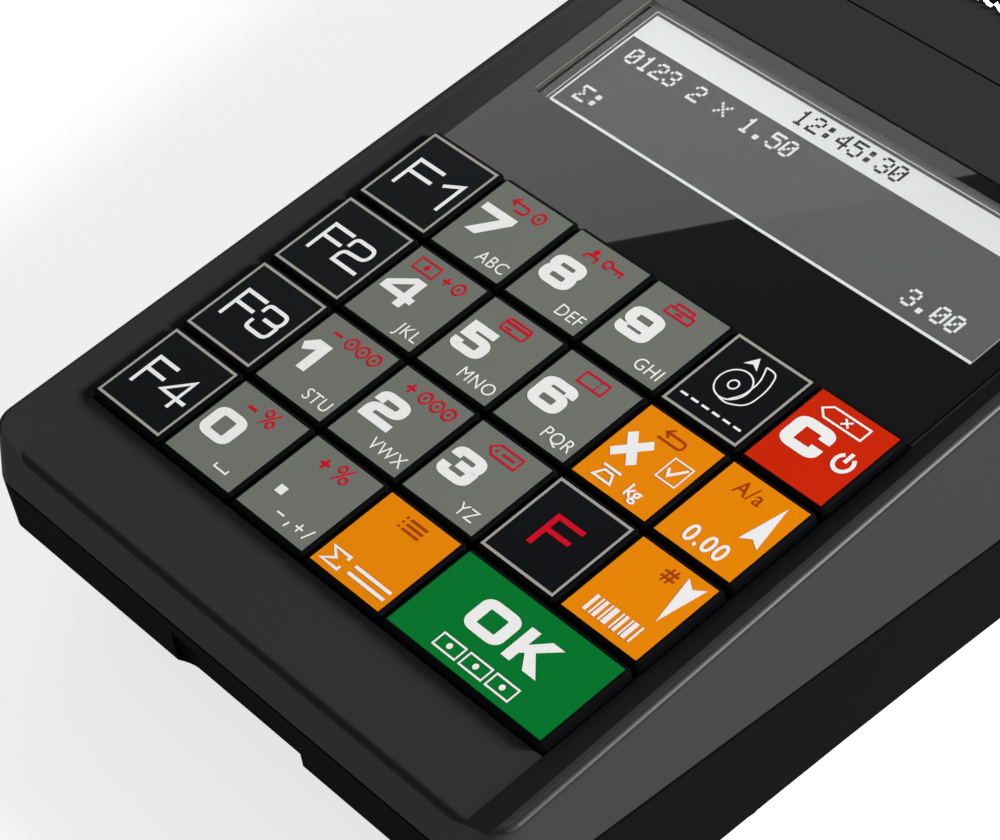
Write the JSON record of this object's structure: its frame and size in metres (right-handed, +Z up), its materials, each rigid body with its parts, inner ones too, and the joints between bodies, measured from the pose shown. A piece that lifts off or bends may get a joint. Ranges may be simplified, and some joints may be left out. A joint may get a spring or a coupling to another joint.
{
  "type": "portable cash register",
  "caption": "Hand-sized till: wedge case with a sunken deck, printed square keys, a dark display window and a thermal receipt printer under a domed lid.",
  "frame": {"origin": "on the table, under the middle of the case", "axes": "+X to the operator's right, +Y to the rear (printer), +Z up"},
  "size_m": [0.0914, 0.1864, 0.0481],
  "materials": {
    "case_grey": "fine grained anthracite moulding",
    "case_black": "black moulding, satin",
    "key_black": "smooth black cap with printed legend",
    "key_grey": "printed grey cap with black border",
    "key_orange": "printed orange cap with black border",
    "key_green": "printed green cap with black border",
    "rubber": "silicone rubber",
    "mat": "grey silicone mat",
    "board": "glass-fibre board, green solder mask",
    "lens": "glossy black printed window",
    "lcd": "liquid crystal glass",
    "natural": "natural nylon",
    "steel": "steel",
    "alu": "extruded aluminium",
    "paper": "thermal paper roll",
    "card": "cardboard tube",
    "battery": "shrink-wrapped battery pack",
    "brass": "spring brass"
  },
  "bodies": {
    "case": {"upper_case": "case_grey", "lower_case": "case_black", "key_guide": "case_black", "keypad_mat": "mat", "main_board": "board", "display_lens": "lens", "lcd_module": "lcd", "lcd_frame": "case_black", "customer_lens": "lens", "customer_lcd": "lcd", "battery_pack": "battery", "battery_door": "case_black", "battery_contacts": "brass", "rubber_feet": "rubber", "stepper_motor": "steel", "head_spring": "steel", "printer_frame": "steel", "printer_cover": "case_grey", "tear_bar": "steel", "paper_bucket": "case_black", "hinge_pins": "steel", "release_spring": "steel", "power_jack": "case_black", "usb_port": "steel", "case_screws": "steel", "small_screws": "steel"},
    "key_f1": {"key_f1": "key_black"},
    "key_7": {"key_7": "key_grey"},
    "key_8": {"key_8": "key_grey"},
    "key_9": {"key_9": "key_grey"},
    "key_feed": {"key_feed": "key_black"},
    "key_clear": {"key_clear": "key_black"},
    "key_f2": {"key_f2": "key_black"},
    "key_4": {"key_4": "key_grey"},
    "key_5": {"key_5": "key_grey"},
    "key_6": {"key_6": "key_grey"},
    "key_multiply": {"key_multiply": "key_orange"},
    "key_up": {"key_up": "key_orange"},
    "key_f3": {"key_f3": "key_black"},
    "key_1": {"key_1": "key_grey"},
    "key_2": {"key_2": "key_grey"},
    "key_3": {"key_3": "key_grey"},
    "key_function": {"key_function": "key_black"},
    "key_down": {"key_down": "key_orange"},
    "key_f4": {"key_f4": "key_black"},
    "key_0": {"key_0": "key_grey"},
    "key_point": {"key_point": "key_grey"},
    "key_total": {"key_total": "key_orange"},
    "key_ok": {"key_ok": "key_green"},
    "lid": {"printer_lid": "case_grey", "platen_bushes": "natural"},
    "platen": {"platen_roller": "rubber", "platen_shaft": "steel", "platen_gear": "natural"},
    "idler": {"idler_gear": "natural"},
    "pinion": {"motor_pinion": "brass"},
    "head": {"thermal_head": "alu"},
    "roll": {"paper_roll": "paper", "paper_core": "card"},
    "release": {"lid_release": "case_black"}
  },
  "joints": [
    {"name": "key_f1_travel", "type": "slide", "parent": "case", "child": "key_f1", "axis": [0, 0.1132, -0.9936], "range_m": [0, 0.0012], "stiffness_N_per_m": 400},
    {"name": "key_7_travel", "type": "slide", "parent": "case", "child": "key_7", "axis": [0, 0.1132, -0.9936], "range_m": [0, 0.0012], "stiffness_N_per_m": 400},
    {"name": "key_8_travel", "type": "slide", "parent": "case", "child": "key_8", "axis": [0, 0.1132, -0.9936], "range_m": [0, 0.0012], "stiffness_N_per_m": 400},
    {"name": "key_9_travel", "type": "slide", "parent": "case", "child": "key_9", "axis": [0, 0.1132, -0.9936], "range_m": [0, 0.0012], "stiffness_N_per_m": 400},
    {"name": "key_feed_travel", "type": "slide", "parent": "case", "child": "key_feed", "axis": [0, 0.1132, -0.9936], "range_m": [0, 0.0012], "stiffness_N_per_m": 400},
    {"name": "key_clear_travel", "type": "slide", "parent": "case", "child": "key_clear", "axis": [0, 0.1132, -0.9936], "range_m": [0, 0.0012], "stiffness_N_per_m": 400},
    {"name": "key_f2_travel", "type": "slide", "parent": "case", "child": "key_f2", "axis": [0, 0.1132, -0.9936], "range_m": [0, 0.0012], "stiffness_N_per_m": 400},
    {"name": "key_4_travel", "type": "slide", "parent": "case", "child": "key_4", "axis": [0, 0.1132, -0.9936], "range_m": [0, 0.0012], "stiffness_N_per_m": 400},
    {"name": "key_5_travel", "type": "slide", "parent": "case", "child": "key_5", "axis": [0, 0.1132, -0.9936], "range_m": [0, 0.0012], "stiffness_N_per_m": 400},
    {"name": "key_6_travel", "type": "slide", "parent": "case", "child": "key_6", "axis": [0, 0.1132, -0.9936], "range_m": [0, 0.0012], "stiffness_N_per_m": 400},
    {"name": "key_multiply_travel", "type": "slide", "parent": "case", "child": "key_multiply", "axis": [0, 0.1132, -0.9936], "range_m": [0, 0.0012], "stiffness_N_per_m": 400},
    {"name": "key_up_travel", "type": "slide", "parent": "case", "child": "key_up", "axis": [0, 0.1132, -0.9936], "range_m": [0, 0.0012], "stiffness_N_per_m": 400},
    {"name": "key_f3_travel", "type": "slide", "parent": "case", "child": "key_f3", "axis": [0, 0.1132, -0.9936], "range_m": [0, 0.0012], "stiffness_N_per_m": 400},
    {"name": "key_1_travel", "type": "slide", "parent": "case", "child": "key_1", "axis": [0, 0.1132, -0.9936], "range_m": [0, 0.0012], "stiffness_N_per_m": 400},
    {"name": "key_2_travel", "type": "slide", "parent": "case", "child": "key_2", "axis": [0, 0.1132, -0.9936], "range_m": [0, 0.0012], "stiffness_N_per_m": 400},
    {"name": "key_3_travel", "type": "slide", "parent": "case", "child": "key_3", "axis": [0, 0.1132, -0.9936], "range_m": [0, 0.0012], "stiffness_N_per_m": 400},
    {"name": "key_function_travel", "type": "slide", "parent": "case", "child": "key_function", "axis": [0, 0.1132, -0.9936], "range_m": [0, 0.0012], "stiffness_N_per_m": 400},
    {"name": "key_down_travel", "type": "slide", "parent": "case", "child": "key_down", "axis": [0, 0.1132, -0.9936], "range_m": [0, 0.0012], "stiffness_N_per_m": 400},
    {"name": "key_f4_travel", "type": "slide", "parent": "case", "child": "key_f4", "axis": [0, 0.1132, -0.9936], "range_m": [0, 0.0012], "stiffness_N_per_m": 400},
    {"name": "key_0_travel", "type": "slide", "parent": "case", "child": "key_0", "axis": [0, 0.1132, -0.9936], "range_m": [0, 0.0012], "stiffness_N_per_m": 400},
    {"name": "key_point_travel", "type": "slide", "parent": "case", "child": "key_point", "axis": [0, 0.1132, -0.9936], "range_m": [0, 0.0012], "stiffness_N_per_m": 400},
    {"name": "key_total_travel", "type": "slide", "parent": "case", "child": "key_total", "axis": [0, 0.1132, -0.9936], "range_m": [0, 0.0012], "stiffness_N_per_m": 400},
    {"name": "key_ok_travel", "type": "slide", "parent": "case", "child": "key_ok", "axis": [0, 0.1132, -0.9936], "range_m": [0, 0.0012], "stiffness_N_per_m": 400},
    {"name": "lid_hinge", "type": "hinge", "parent": "case", "child": "lid", "pos_m": [0, 0.08104, 0.0428], "axis": [-1, 0, 0], "range_deg": [0, 85]},
    {"name": "platen_spin", "type": "hinge", "parent": "lid", "child": "platen", "pos_m": [0, 0.03284, 0.03211], "axis": [1, 0, 0], "continuous": true},
    {"name": "idler_spin", "type": "hinge", "parent": "case", "child": "idler", "pos_m": [0, 0.03284, 0.01949], "axis": [1, 0, 0], "continuous": true},
    {"name": "pinion_spin", "type": "hinge", "parent": "case", "child": "pinion", "pos_m": [0, 0.02286, 0.01586], "axis": [1, 0, 0], "continuous": true},
    {"name": "head_tilt", "type": "hinge", "parent": "case", "child": "head", "pos_m": [0, 0.03078, 0.02221], "axis": [-1, 0, 0], "range_deg": [0, 1.2], "stiffness_Nm_per_rad": 1},
    {"name": "roll_spin", "type": "hinge", "parent": "case", "child": "roll", "pos_m": [0, 0.06034, 0.0255], "axis": [1, 0, 0], "continuous": true},
    {"name": "release_press", "type": "slide", "parent": "case", "child": "release", "axis": [0, 0, -1], "range_m": [0, 0.002], "stiffness_N_per_m": 500, "deforming": ["release_spring"]}
  ],
  "couplings": [
    {"joint": "idler_spin", "follows": "platen_spin", "ratio": -0.66667},
    {"joint": "pinion_spin", "follows": "platen_spin", "ratio": 1.6667}
  ]
}
